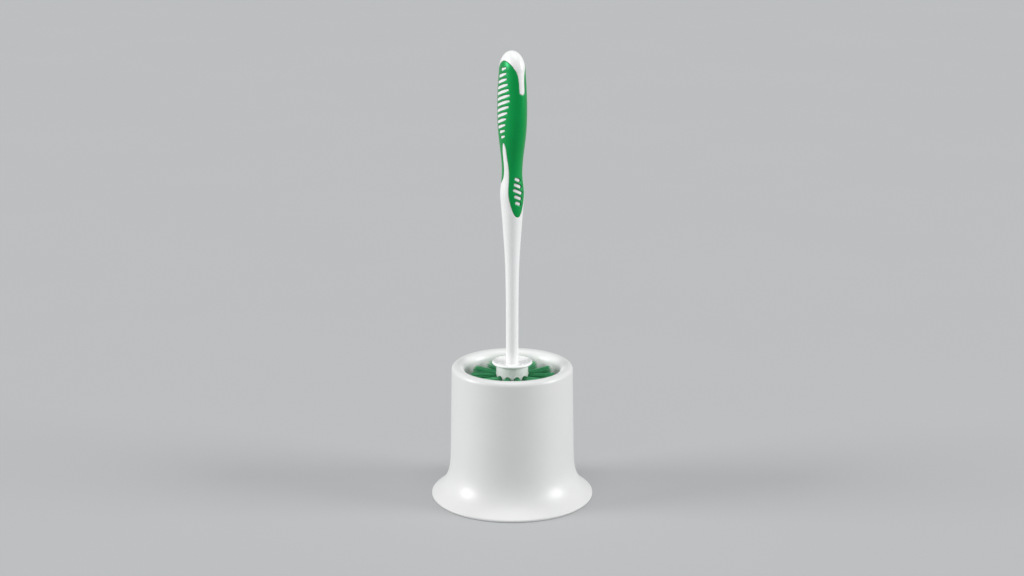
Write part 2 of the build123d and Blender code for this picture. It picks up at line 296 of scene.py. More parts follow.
# ---------------------------------------------------------------- materials
class Finish:
    """A Principled material with short ways to add procedural detail."""

    def __init__(self, name, colour, roughness):
        self.material = bpy.data.materials.new(name)
        self.material.use_nodes = True
        self.tree = self.material.node_tree
        self.shader = self.tree.nodes["Principled BSDF"]
        self.shader.inputs["Base Color"].default_value = (*colour, 1)
        self.shader.inputs["Roughness"].default_value = roughness
        self.place = self.node("ShaderNodeTexCoord").outputs["Object"]

    def node(self, kind, **settings):
        """A new node with its settings."""
        made = self.tree.nodes.new(kind)
        for key, value in settings.items():
            setattr(made, key, value)
        return made

    def link(self, output, socket):
        self.tree.links.new(output, socket)

    def noise(self, scale, detail, roughness=0.55, stretch=None):
        """A noise pattern on the piece's own coordinates; scale is in waves per metre, and stretch
        multiplies the coordinates."""
        made = self.node("ShaderNodeTexNoise")
        made.inputs["Scale"].default_value = scale
        made.inputs["Detail"].default_value = detail
        made.inputs["Roughness"].default_value = roughness
        place = self.place
        if stretch:
            mapping = self.node("ShaderNodeMapping")
            mapping.inputs["Scale"].default_value = stretch
            self.link(place, mapping.inputs["Vector"])
            place = mapping.outputs["Vector"]
        self.link(place, made.inputs["Vector"])
        return made.outputs["Fac"]

    def ramp(self, value, *stops):
        """A colour for each value: stops are (position, colour)."""
        made = self.node("ShaderNodeValToRGB")
        elements = made.color_ramp.elements
        while len(elements) < len(stops):
            elements.new(0.5)
        for element, (position, colour) in zip(elements, stops):
            element.position = position
            element.color = (*colour, 1)
        self.link(value, made.inputs["Fac"])
        return made.outputs["Color"]

    def between(self, value, low, high, at_low, at_high):
        """Map value from low..high to at_low..at_high, held at the ends."""
        made = self.node("ShaderNodeMapRange")
        numbers = {"From Min": low, "From Max": high, "To Min": at_low, "To Max": at_high}
        for key, number in numbers.items():
            made.inputs[key].default_value = number
        self.link(value, made.inputs["Value"])
        return made.outputs["Result"]

    def mix(self, factor, first, second):
        """The first colour where factor is 0, the second where it is 1."""
        made = self.node("ShaderNodeMix", data_type="RGBA")
        for key, value in {"Factor": factor, "A": first, "B": second}.items():
            self.feed(made.inputs[key], value)
        return made.outputs["Result"]

    def feed(self, socket, value):
        """Set a socket from another node's output, a colour or a number."""
        if isinstance(value, bpy.types.NodeSocket):
            self.link(value, socket)
        elif isinstance(value, tuple):
            socket.default_value = (*value, 1)
        else:
            socket.default_value = value

    def math(self, operation, first, second):
        """The result of adding or multiplying two values."""
        made = self.node("ShaderNodeMath", operation=operation)
        self.feed(made.inputs[0], first)
        self.feed(made.inputs[1], second)
        return made.outputs["Value"]

    def value(self, label):
        """The piece's own attribute of that name."""
        return self.node("ShaderNodeAttribute", attribute_name=label).outputs["Fac"]

    def bump(self, *layers):
        """Stack height layers, each (pattern, height in millimetres, strength)."""
        normal = None
        for pattern, height, strength in layers:
            made = self.node("ShaderNodeBump")
            made.inputs["Strength"].default_value = strength
            made.inputs["Distance"].default_value = height * MM
            self.link(pattern, made.inputs["Height"])
            if normal:
                self.link(normal, made.inputs["Normal"])
            normal = made.outputs["Normal"]
        self.link(normal, self.shader.inputs["Normal"])

    def colour(self, output):
        self.link(output, self.shader.inputs["Base Color"])

    def roughness(self, output):
        self.link(output, self.shader.inputs["Roughness"])


def moulded_white(name, tint, gloss):
    """Moulded polypropylene: nearly even white, faint mottling, soft orange peel, edges scuffed by
    the attribute edge, and a whiter colour painted where the attribute inside is 1: painted light
    standing in for the light bounced round inside the cup."""
    f = Finish(name, tint, gloss)
    fine = f.noise(900, 3)
    lighter, darker, scuff = (tuple(c * share for c in tint) for share in (1.01, 0.99, 0.9))
    base = f.ramp(f.noise(38, 4), (0.3, darker), (0.7, lighter))
    wear = f.math("MULTIPLY", f.value("edge"), f.between(fine, 0.4, 0.7, 0.2, 1.0))
    # Painted light: a whiter colour where inside is 1 brightens the cup's shaded interior.
    f.colour(f.mix(f.value("inside"), f.mix(wear, base, scuff), (0.84, 0.84, 0.83)))
    streaks = f.noise(260, 4, 0.6, stretch=(1, 1, 0.12))
    streaked = f.between(streaks, 0.3, 0.7, gloss - 0.05, gloss + 0.06)
    f.roughness(f.math("ADD", streaked, f.math("MULTIPLY", f.value("edge"), 0.12)))
    f.bump((f.noise(28, 2), 0.25, 0.06), (f.noise(1500, 2), 0.003, 0.1), (fine, 0.004, 0.1))
    f.shader.inputs["Subsurface Weight"].default_value = 0.06
    f.shader.inputs["Subsurface Radius"].default_value = (0.004, 0.004, 0.0035)
    f.shader.inputs["Coat Weight"].default_value = 0.12
    f.shader.inputs["Coat Roughness"].default_value = 0.18
    return f.material


def soft_rubber():
    """Green thermoplastic rubber: satin, finely grained, with painted shade darkening its side walls and
    rounded rim, and paler at worn edges.
    """
    f = Finish("green_soft_rubber", (0.001, 0.26, 0.05), 0.4)
    base = f.ramp(f.noise(55, 4), (0.3, (0.001, 0.25, 0.046)), (0.7, (0.0015, 0.275, 0.054)))
    # Painted shade: a dark green mixed in on the rubber's side walls, its inside and its rounded rim.
    grooved = f.mix(f.value("groove"), base, (0.0008, 0.085, 0.022))
    wear = f.math("MULTIPLY", f.value("edge"), f.between(f.noise(700, 3), 0.35, 0.7, 0.0, 0.4))
    f.colour(f.mix(wear, grooved, (0.006, 0.36, 0.09)))
    f.roughness(f.between(f.noise(420, 4), 0.3, 0.7, 0.27, 0.38))
    f.bump((f.noise(2600, 2), 0.006, 0.3), (f.noise(60, 2), 0.12, 0.1))
    f.shader.inputs["Specular Tint"].default_value = (0.12, 1.0, 0.42, 1)
    f.shader.inputs["Specular IOR Level"].default_value = 0.95
    return f.material


def nylon_bristle():
    """Green nylon filament: each a little lighter or darker, with painted shade making it darker towards
    the head.
    """
    f = Finish("green_nylon_bristle", (0.04, 0.3, 0.11), 0.34)
    shade = f.ramp(f.value("shade"), (0.0, (0.025, 0.31, 0.11)), (0.5, (0.055, 0.47, 0.18)),
                   (1.0, (0.14, 0.6, 0.29)))
    # Painted shade: up to 0.3 of a dark green mixed in towards each filament's inner end.
    depth = f.between(f.value("along"), 0.0, 1.0, 0.3, 0.0)
    f.colour(f.mix(depth, shade, (0.006, 0.09, 0.035)))
    f.roughness(f.between(f.noise(1800, 2), 0.3, 0.7, 0.28, 0.42))
    f.bump((f.noise(5200, 2), 0.02, 0.4), (f.noise(2400, 2), 0.02, 0.2))
    f.shader.inputs["Subsurface Weight"].default_value = 0.1
    f.shader.inputs["Subsurface Radius"].default_value = (0.0004, 0.0012, 0.0006)
    return f.material


def galvanised_wire():
    """Flat steel wire with fine drawn streaks and dull patches."""
    f = Finish("galvanised_wire", (0.6, 0.6, 0.58), 0.35)
    f.shader.inputs["Metallic"].default_value = 1.0
    f.colour(f.ramp(f.noise(600, 4), (0.3, (0.48, 0.48, 0.47)), (0.7, (0.68, 0.68, 0.66))))
    f.roughness(f.between(f.noise(2200, 3), 0.3, 0.7, 0.28, 0.5))
    f.bump((f.noise(4000, 3), 0.02, 0.4), (f.noise(900, 2), 0.02, 0.2))
    return f.material


def pale_floor():
    """Matt studio floor with a very faint cloudiness."""
    f = Finish("pale_studio_floor", (0.45, 0.455, 0.46), 0.7)
    f.colour(f.ramp(f.noise(3, 3), (0.3, (0.447, 0.452, 0.457)), (0.7, (0.453, 0.458, 0.463))))
    f.shader.inputs["Specular IOR Level"].default_value = 0.05
    return f.material


# ---------------------------------------------------------------- caddy
def skirt_radius(z):
    """Outer radius: a straight draft from the rim down, plus a flare that grows as a power of the
    depth below FLARE_HEIGHT."""
    draft = (FLARE_RADIUS - RIM_RADIUS) / (RIM_HEIGHT - FLARE_HEIGHT)
    wall = FLARE_RADIUS + (FLARE_HEIGHT - z) * draft
    foot_wall = FLARE_RADIUS + FLARE_HEIGHT * draft
    depth = np.maximum(0.0, (FLARE_HEIGHT - z) / (FLARE_HEIGHT - FOOT_LAND))
    return wall + (BASE_RADIUS - foot_wall) * depth ** FLARE_POWER


def skirt_inner_radius(z):
    """Inner radius of the skirt: the wall measured square to the outer face."""
    step = 0.01
    slope = (skirt_radius(z + step) - skirt_radius(z)) / step
    return skirt_radius(z) - WALL * np.hypot(1.0, slope)


def caddy_profile():
    """Outline from the axis under the cup, out, down the skirt's inside, up its outside, over the
    rolled rim, down into the cup and back to the axis. Corners are arcs."""
    crest = OPENING_RADIUS + (RIM_RADIUS - OPENING_RADIUS) * CREST_SHARE
    outer_roll, inner_roll = RIM_RADIUS - crest, crest - OPENING_RADIUS
    outer_z, inner_z = RIM_HEIGHT - outer_roll, RIM_HEIGHT - inner_roll
    corner_x, corner_z = FLOOR_RADIUS - CUP_CORNER, FLOOR_TOP + CUP_CORNER
    down = np.linspace(FLARE_HEIGHT, FOOT_LAND, 40)
    inside = np.stack([skirt_inner_radius(down), down], -1)
    up = np.linspace(FOOT_LAND + 0.5, FLARE_HEIGHT, 46)
    outside = np.stack([skirt_radius(up), up], -1)
    foot = path_through([inside[-1], (inside[-1][0] + 0.3, 0.7), (inside[-1][0] + 1.0, 0.0),
                         (BASE_RADIUS - 0.8, 0.0), (BASE_RADIUS - FOOT_INSET, 0.6),
                         (BASE_RADIUS - 0.05, 1.6), outside[0]], 26)
    foot[:, 0] = np.minimum(foot[:, 0], BASE_RADIUS - FOOT_INSET)
    foot[:, 1] = np.maximum(foot[:, 1], 0.0)
    parts = [
        line((CUP_MIDDLE, FLOOR_TOP - WALL), (corner_x, FLOOR_TOP - WALL), 10),
        arc((corner_x, corner_z), CUP_CORNER + WALL, -90, 0, 12),
        line((FLOOR_RADIUS + WALL, corner_z), (OPENING_RADIUS + WALL, inner_z), 14),
        arc((crest, inner_z), inner_roll - WALL, 180, 90, 8),
        arc((crest, outer_z), outer_roll - WALL, 90, 0, 8),
        line((RIM_RADIUS - WALL, outer_z), inside[0], 16),
        inside[:-1],
        foot[:-1],
        outside[:-1],
        line(outside[-1], (RIM_RADIUS, outer_z), 20),
        arc((crest, outer_z), outer_roll, 0, 90, 16),
        arc((crest, inner_z), inner_roll, 90, 180, 16),
        line((OPENING_RADIUS, inner_z), (FLOOR_RADIUS, corner_z), 24),
        arc((corner_x, corner_z), CUP_CORNER, 0, -90, 12),
        line((corner_x, FLOOR_TOP), (CUP_MIDDLE, FLOOR_TOP), 10),
        np.array([(CUP_MIDDLE, FLOOR_TOP)]),
    ]
    return np.vstack(parts)


def make_caddy():
    """The caddy's profile spun round its axis. edge marks the foot and the crest of the rim, and
    inside marks the cup, whose white is painted brighter there as painted light."""
    grid = spin(caddy_profile(), CADDY_COLUMNS)
    points, faces = capped(grid, (0, 0, FLOOR_TOP - WALL), (0, 0, FLOOR_TOP))
    radius, height = np.hypot(points[:, 0], points[:, 1]), points[:, 2]
    foot = smooth_step(3.0, 0.4, height) * smooth_step(BASE_RADIUS - 6, BASE_RADIUS - 1, radius)
    crest = 0.5 * smooth_step(RIM_HEIGHT - 0.9, RIM_HEIGHT - 0.1, height)
    # inside: where the cup's white gets painted light, a brighter colour for its shaded interior.
    inside = smooth_step(OPENING_RADIUS + 6, OPENING_RADIUS + 1, radius) * (height > FLOOR_TOP - 0.1)
    add_mesh("caddy_shell", points, faces, "caddy", "white_plastic_caddy", ["caddy"],
             moulded_white("caddy_white", (0.70, 0.70, 0.69), 0.38), edge=foot + crest, inside=inside)


# ---------------------------------------------------------------- handle
def handle_axes(z):
    """Side and front semi-axes of the handle's oval at height z; above the dome's base both shrink
    as a quarter ellipse. They follow from the half width seen VIEW_TURN off the front."""
    stem = np.clip(z, SHAFT_TOP, DOME_BASE)
    half = through(HANDLE_STATIONS[:, 0], HANDLE_STATIONS[:, 1], stem)
    ratio = through(HANDLE_STATIONS[:, 0], HANDLE_STATIONS[:, 2], stem)
    front = half * ratio
    side = np.sqrt(half ** 2 - (front * math.sin(VIEW_TURN)) ** 2) / math.cos(VIEW_TURN)
    dome = np.sqrt(np.clip(1 - (np.maximum(z - DOME_BASE, 0) / DOME_HEIGHT) ** 2, 0, 1))
    return side * dome, front * dome


def handle_point(z, t):
    """A point of the handle's outside: x = side sin t, y = -front cos t, at height z."""
    side, front = handle_axes(z)
    return np.stack([side * np.sin(t), -front * np.cos(t), z + 0 * t], -1)


def handle_normal(z, t):
    """Outward normal there: the cross product of small steps round and up the surface."""
    step = 1e-3
    around = handle_point(z, t + step) - handle_point(z, t - step)
    up = handle_point(z + step, t) - handle_point(z - step, t)
    normal = np.cross(around, up)
    return normal / np.linalg.norm(normal, axis=-1, keepdims=True)


def inside_outline(points, outline):
    """Signed distance to a closed outline, positive inside: the least distance to its segments,
    with the sign from counting crossings of a ray."""
    start, end = outline, np.roll(outline, -1, 0)
    best = np.full(points.shape[:-1], np.inf)
    odd = np.zeros(points.shape[:-1], bool)
    for a, b in zip(start, end):
        run = b - a
        share = np.clip(((points - a) @ run) / max(run @ run, 1e-12), 0, 1)
        gap = points - (a + share[..., None] * run)
        best = np.minimum(best, np.hypot(gap[..., 0], gap[..., 1]))
        spans = (a[1] > points[..., 1]) != (b[1] > points[..., 1])
        if a[1] != b[1]:
            cross = a[0] + (points[..., 1] - a[1]) * run[0] / run[1]
            odd ^= spans & (points[..., 0] < cross)
    return np.where(odd, best, -best)


def round_slot(u, v, tip, end, tip_radius, end_radius):
    """Signed distance to a slot along u, positive inside: the hull of a disc at tip, the end with
    the lower u, and a disc at end. Beside the slot's sides it is the distance to their line, past
    them the distance to the nearer disc."""
    length = end - tip
    lean = (end_radius - tip_radius) / length
    rise = math.sqrt(1 - lean * lean)
    across, back = np.abs(v), end - u
    along = rise * back - lean * across
    beside = rise * across + lean * back - end_radius
    at_end = np.hypot(across, back) - end_radius
    at_tip = np.hypot(across, back - length) - tip_radius
    return -np.where(along < 0, at_end, np.where(along > rise * length, at_tip, beside))


def turned_axes(first, second, slant):
    """The two coordinates seen along and across a slot that is turned by slant."""
    c, s = math.cos(slant), math.sin(slant)
    return first * c - second * s, first * s + second * c


def grip_outline():
    """The rubber's outline in the side view: the arch, then down the back past the form's edge, up
    and down the white wedge between the tongues, and up the front past the form's edge."""
    past = 30.0
    arch = path_through([*ARCH_FRONT, ARCH_TOP, *ARCH_BACK], 90)
    wedge = path_through([*WEDGE_BACK, WEDGE_TOP, *WEDGE_FRONT], 150)
    back = [(past, ARCH_BACK[-1][1]), (past, WEDGE_BACK[0][1])]
    front = [(-past, WEDGE_FRONT[-1][1]), (-past, ARCH_FRONT[0][1])]
    return np.vstack([arch, back, wedge, front])


def window_outline():
    """The white finger in the front view: a round tip that widens upwards."""
    right = path_through(WINDOW_EDGE, 30)
    tip = arc((0, WINDOW_TIP + WINDOW_RADIUS), WINDOW_RADIUS, 180, 360, 24)
    return np.vstack([tip, right, right[::-1] * (-1, 1)])


def ladder_distance(y, z):
    """Largest signed distance to any ladder slot, in the side view. A slot reaches further front
    near the ladder's middle, as a bell curve, and its back end closes in at both ends."""
    best = np.full(y.shape, -FAR)
    for k in range(LADDER_COUNT):
        off = k - LADDER_MIDDLE
        front = LADDER_FRONT + LADDER_SWELL * math.exp(-((off / LADDER_SPREAD) ** 2))
        back = max(LADDER_BACK * (1 - (off / LADDER_ROUND) ** 4), LADDER_LEAST_BACK)
        u, v = turned_axes(y, z - (LADDER_TOP - k * LADDER_PITCH), LADDER_SLANT)
        tip, end = LADDER_TIP - front, back - LADDER_END
        shoulder = min(tip + LADDER_SHOULDER, end)
        best = np.maximum(best, round_slot(u, v, tip, shoulder, LADDER_TIP, LADDER_END))
        if end > shoulder:
            best = np.maximum(best, round_slot(u, v, shoulder, end, LADDER_END, LADDER_END))
    return best


def thumb_distance(x, z):
    """Largest signed distance to any thumb slot, in the front view; the middle slot is longest."""
    best = np.full(x.shape, -FAR)
    middle = (THUMB_COUNT - 1) / 2
    radius = THUMB_SLOT / 2
    for k in range(THUMB_COUNT):
        half = THUMB_SHORT + THUMB_SWELL * (1 - abs(k - middle) / middle) - radius
        u, v = turned_axes(x, z - (THUMB_TOP - k * THUMB_PITCH), -THUMB_SLANT)
        best = np.maximum(best, round_slot(u, v, -half, half, radius, radius))
    return best


class GripSkin:
    """The handle's outside as a grid of heights and turns, with the distances to the lines of the
    soft grip along the surface, in millimetres: ladder and thumb into the nearest slot of each
    kind, cover into the grip zone, and rubber into the rubber itself. The grid's points are drawn
    onto the line of the distance named snap_to."""

    LEAST_SLOPE = 0.3           # flattest slope that a distance is divided by
    LEAST_LADDER_SLOPE = 0.9    # the same between ladder slots, where the slope turns over
    MOST_SHIFT = 0.7            # how far a point may be drawn, in cells

    def __init__(self, heights, columns, snap_to):
        self.t = np.broadcast_to(2 * np.pi * np.arange(columns) / columns, (len(heights), columns))
        self.z = np.broadcast_to(heights[:, None], self.t.shape)
        self.stretch = {}
        self.measure()
        self.snap(getattr(self, snap_to))
        self.measure()
        setattr(self, snap_to, np.where(self.on_line, 0.0, getattr(self, snap_to)))
        self.normal = handle_normal(self.z, self.t)

    def measure(self):
        """Work out the points and their distances from the grid's heights and turns."""
        self.point = handle_point(self.z, self.t)
        x, y, z = np.moveaxis(self.point, -1, 0)
        zone = self.along_surface("zone", inside_outline(self.point[..., 1:], grip_outline()))
        window = self.along_surface("window", inside_outline(self.point[..., ::2], window_outline()))
        self.ladder = self.along_surface("ladder", ladder_distance(y, z), self.LEAST_LADDER_SLOPE)
        self.thumb = np.where(y < 0, self.along_surface("thumb", thumb_distance(x, z)), -FAR)
        self.cover = np.minimum(zone, np.where(y < 0, -window, FAR))
        self.rubber = np.minimum(self.cover, -np.maximum(self.ladder, self.thumb))

    def slopes(self, values):
        """Change of values per grid step up and round the handle."""
        return np.gradient(values, axis=0), (np.roll(values, -1, 1) - np.roll(values, 1, 1)) / 2

    def cell_sizes(self):
        """Length of a grid step up and round the handle."""
        around = np.roll(self.point, -1, 1) - np.roll(self.point, 1, 1)
        return np.linalg.norm(np.gradient(self.point, axis=0), axis=-1), np.linalg.norm(around, axis=-1) / 2

    def along_surface(self, name, values, least=LEAST_SLOPE):
        """Turn a distance seen in a flat view into one along the surface: value over its slope,
        which is taken once, on the even grid, and is never below least."""
        if name not in self.stretch:
            up, around = self.cell_sizes()
            rise, turn = self.slopes(values)
            self.stretch[name] = np.clip(np.hypot(rise / up, turn / around), least, 1.0)
        return values / self.stretch[name]

    def snap(self, depth):
        """Move each grid point that is within half a cell of the line depth = 0 onto that line,
        along the steepest way, so that the line is made of whole edges."""
        rise, turn = self.slopes(depth)
        up, around = self.cell_sizes()
        self.on_line = np.abs(depth) < 0.5 * (np.abs(rise) + np.abs(turn))
        self.on_line &= (self.z < DOME_BASE + 0.9 * DOME_HEIGHT) & (self.z > SHAFT_TOP)
        steep = np.maximum((rise / up) ** 2 + (turn / around) ** 2, 1e-9)
        rows = np.where(self.on_line, -depth * rise / up ** 2 / steep, 0.0)
        columns = np.where(self.on_line, -depth * turn / around ** 2 / steep, 0.0)
        rows, columns = (np.clip(shift, -self.MOST_SHIFT, self.MOST_SHIFT) for shift in (rows, columns))
        self.z = self.z + rows * np.gradient(self.z, axis=0)
        self.t = self.t + columns * 2 * np.pi / self.t.shape[1]

    def triangles(self, depth):
        """Each grid cell cut along the diagonal whose ends lie nearer to the line depth = 0."""
        quads = ring_faces(*depth.shape)
        near = np.abs(depth.ravel())[quads]
        first = (near[:, 0] + near[:, 2] <= near[:, 1] + near[:, 3])[:, None]
        one = np.where(first, quads[:, [0, 1, 2]], quads[:, [0, 1, 3]])
        two = np.where(first, quads[:, [0, 2, 3]], quads[:, [1, 2, 3]])
        return np.vstack([one, two])


def rubber_drop(depth):
    """How far the rubber lies below the form: a quarter circle down to its rim."""
    inward = np.clip(1 - depth / EDGE_ROUND, 0, 1)
    return EDGE_DROP * (1 - np.sqrt(1 - inward ** 2))


def core_drop(skin):
    """How far the white core lies below the form: flush outside the grip zone but for a rounded
    lip, level at each slot's floor, and sunk everywhere else under the rubber."""
    lip = CORE_LIP * np.exp(-((skin.cover / CORE_LIP_WIDTH) ** 2))
    sunk = np.where(skin.ladder > -PLATEAU_REACH, LADDER_FLOOR, UNDERCUT)
    sunk = np.where(skin.thumb > -PLATEAU_REACH, THUMB_FLOOR, sunk)
    return np.where(skin.cover > 0, sunk, lip)


def handle_heights(low, step):
    """Row heights from low up: sparse on the shaft, one step apart over the grip, then even in
    angle round the dome."""
    shaft_step, dome_arc = 2.5, 25.0
    shaft = np.arange(low, GRIP_BOTTOM, shaft_step)
    grip = np.arange(max(low, GRIP_BOTTOM), DOME_BASE, step)
    angle = np.radians(np.linspace(0, 89.0, round(dome_arc / step)))
    return np.concatenate([shaft, grip, DOME_BASE + DOME_HEIGHT * np.sin(angle)])


def make_handle_core():
    """White core: the handle's form, sunk in the slots and under the rubber, with its spigot. edge
    marks the white beside the rubber."""
    skin = GripSkin(handle_heights(SHAFT_BOTTOM, CORE_STEP), CORE_COLUMNS, "cover")
    surface = skin.point - skin.normal * core_drop(skin)[..., None]
    spigot_end = SHAFT_BOTTOM - SPIGOT_LENGTH
    spigot = spin(np.array([(SPIGOT_RADIUS - 0.6, spigot_end), (SPIGOT_RADIUS, spigot_end + 0.8),
                            (SPIGOT_RADIUS, SHAFT_BOTTOM - 0.05),
                            (SHAFT_RADIUS - 0.3, SHAFT_BOTTOM - 0.02)]), CORE_COLUMNS)
    rings = len(spigot)
    whole = np.concatenate([spigot, surface])
    points, faces = capped(whole, (0, 0, spigot_end), (0, 0, DOME_BASE + DOME_HEIGHT))
    joining = ring_faces(rings + 1, CORE_COLUMNS)
    poles = faces[-2 * CORE_COLUMNS:]
    faces = joining.tolist() + (skin.triangles(skin.cover) + rings * CORE_COLUMNS).tolist() + poles
    edge = np.zeros(whole.shape[:2])
    edge[rings:] = 0.8 * np.exp(-((skin.cover + 0.3) / 0.4) ** 2)
    add_mesh("handle_white_core", points, faces, "brush", "white_plastic_brush", ["handle_core"],
             moulded_white("brush_white", (0.86, 0.86, 0.85), 0.26), edge=np.append(edge.ravel(), (0, 0)))


def make_soft_grip():
    """Green overmould: a closed shell cut out of the handle's outside along the rubber's line. Its
    three layers are the rounded outside, the foot of the rim's side, and the inside, which lies
    GRIP_THICKNESS below. groove marks painted shade, full on the sides and the inside and
    darkest at the rim of the rounded edge, and edge marks the rounding."""
    heights = handle_heights(GRIP_BOTTOM, GRIP_STEP)
    skin = GripSkin(heights[heights < ARCH_TOP[1] + 1.5], GRIP_COLUMNS, "rubber")
    depth = skin.rubber
    faces = skin.triangles(depth)
    faces = faces[depth.ravel()[faces].mean(axis=1) > 0.01]
    count = depth.size
    sides = np.concatenate([faces[:, [k, (k + 1) % 3]] for k in range(3)])
    forward = sides[:, 0] * count + sides[:, 1]
    backward = sides[:, 1] * count + sides[:, 0]
    rim = sides[~np.isin(forward, backward)]
    drops = [rubber_drop(depth), EDGE_DROP + EDGE_WALL + 0 * depth, GRIP_THICKNESS + 0 * depth]
    layers = [(skin.point - skin.normal * drop[..., None]).reshape(-1, 3) for drop in drops]
    walls = []
    for upper in (0, 1):
        a, b = rim[:, 1] + upper * count, rim[:, 0] + upper * count
        walls += [np.stack([a, b, b + count], -1), np.stack([a, b + count, a + count], -1)]
    faces = np.vstack([faces, faces[:, ::-1] + 2 * count, *walls])
    used, renumbered = np.unique(faces, return_inverse=True)
    # Painted shade: full on the side walls and the inside, fading out over the outer rounding away from the
    # rim.
    groove = np.concatenate([smooth_step(0.5, 0.0, depth).ravel(), np.ones(2 * count)])[used]
    edge = np.concatenate([np.exp(-((depth - 0.5) / 0.3) ** 2).ravel(), np.zeros(2 * count)])[used]
    add_mesh("soft_grip_rubber", np.vstack(layers)[used], renumbered.reshape(-1, 3).tolist(), "brush",
             "green_rubber", ["soft_grip"], soft_rubber(), groove=groove, edge=edge)


# ---------------------------------------------------------------- brush head and tufts
def tuft_frames():
    """For each row of tufts: the origins on the head's surface and the outward axes."""
    rows = []
    for ring in range(RING_COUNT):
        stagger = 0.5 * ((ring + 1) % 2)
        turn = FIRST_TURN - np.pi / 2 + 2 * np.pi * (np.arange(RING_TUFTS) + stagger) / RING_TUFTS
        aim = np.stack([np.cos(turn), np.sin(turn), 0 * turn], -1)
        origin = aim * HEAD_RADIUS + (0, 0, RING_TOP - ring * RING_PITCH)
        rows.append((origin, aim))
    for tilt, count in DOME_RINGS:
        turn = 2 * np.pi * np.arange(count) / count
        lean = math.radians(tilt)
        aim = np.stack([math.sin(lean) * np.cos(turn), math.sin(lean) * np.sin(turn),
                        -math.cos(lean) + 0 * turn], -1)
        rows.append((aim * HEAD_RADIUS + (0, 0, HEAD_DOME), aim))
    return rows


def head_profile():
    """Outline of the head from its bottom pole up, over the flange and down into the socket, and
    how many of its points lie on the part that carries tufts."""
    edge_top = HEAD_SHOULDER + FLANGE_EDGE
    lip = FLANGE_EDGE / 2
    fillet_x, fillet_z = HEAD_RADIUS + HEAD_FILLET, HEAD_SHOULDER - HEAD_FILLET
    flange_top = [(FLANGE_RADIUS - lip - 0.5, edge_top - 0.2), (FLANGE_RADIUS - 4.2, edge_top - 1.0),
                  (FLANGE_RADIUS - 8.0, edge_top - 1.95), (SHAFT_RADIUS + 1.3, SHAFT_BOTTOM + 0.12),
                  (SHAFT_RADIUS + 0.35, SHAFT_BOTTOM + 0.45), (SHAFT_RADIUS + 0.03, SHAFT_BOTTOM + 1.3)]
    tufted = np.vstack([arc((0, HEAD_DOME), HEAD_RADIUS, -86, 0, 40),
                        line((HEAD_RADIUS, HEAD_DOME), (HEAD_RADIUS, fillet_z), 150)])
    profile = np.vstack([
        tufted,
        arc((fillet_x, fillet_z), HEAD_FILLET, 180, 90, 6),
        line((fillet_x, HEAD_SHOULDER), (FLANGE_RADIUS - lip, HEAD_SHOULDER), 4),
        arc((FLANGE_RADIUS - lip, edge_top - lip), lip, -90, 105, 16),
        path_through(flange_top, 34),
        [(SPIGOT_RADIUS + 0.1, SHAFT_BOTTOM + 0.3), (SPIGOT_RADIUS + 0.06, SHAFT_BOTTOM - SPIGOT_LENGTH)],
    ])
    return profile, len(tufted)


def make_brush_head(rows):
    """Splash flange and tuft block: the profile spun round, its surface dipping into each tuft hole,
    with a small raised collar round it that edge marks."""
    profile, tufted = head_profile()
    grid = spin(profile, HEAD_COLUMNS)
    along = np.gradient(grid, axis=0)
    around = (np.roll(grid, -1, 1) - np.roll(grid, 1, 1)) / 2
    normal = np.cross(around, along)
    normal /= np.maximum(np.linalg.norm(normal, axis=-1, keepdims=True), 1e-9)
    nearest = np.full(grid.shape[:2], FAR)
    for origins, _ in rows:
        for origin in origins:
            nearest = np.minimum(nearest, np.linalg.norm(grid - origin, axis=-1))
    nearest[tufted:] = FAR
    dip = HOLE_DIP * smooth_step(TUFT_ROOT + HOLE_EDGE, TUFT_ROOT - HOLE_EDGE, nearest)
    collar = COLLAR_RISE * np.exp(-((nearest - TUFT_ROOT - 0.55) / COLLAR_WIDTH) ** 2)
    grid = grid + normal * (collar - dip)[..., None]
    points, faces = capped(grid, (0, 0, HEAD_DOME - HEAD_RADIUS + HOLE_DIP),
                           (0, 0, SHAFT_BOTTOM - SPIGOT_LENGTH))
    edge = 0.7 * np.exp(-((nearest - TUFT_ROOT - 0.5) / COLLAR_WIDTH) ** 2)
    add_mesh("brush_head_block", points, faces, "brush", "white_plastic_brush", ["brush_head"],
             bpy.data.materials["brush_white"], edge=np.append(edge.ravel(), (0, 0)))


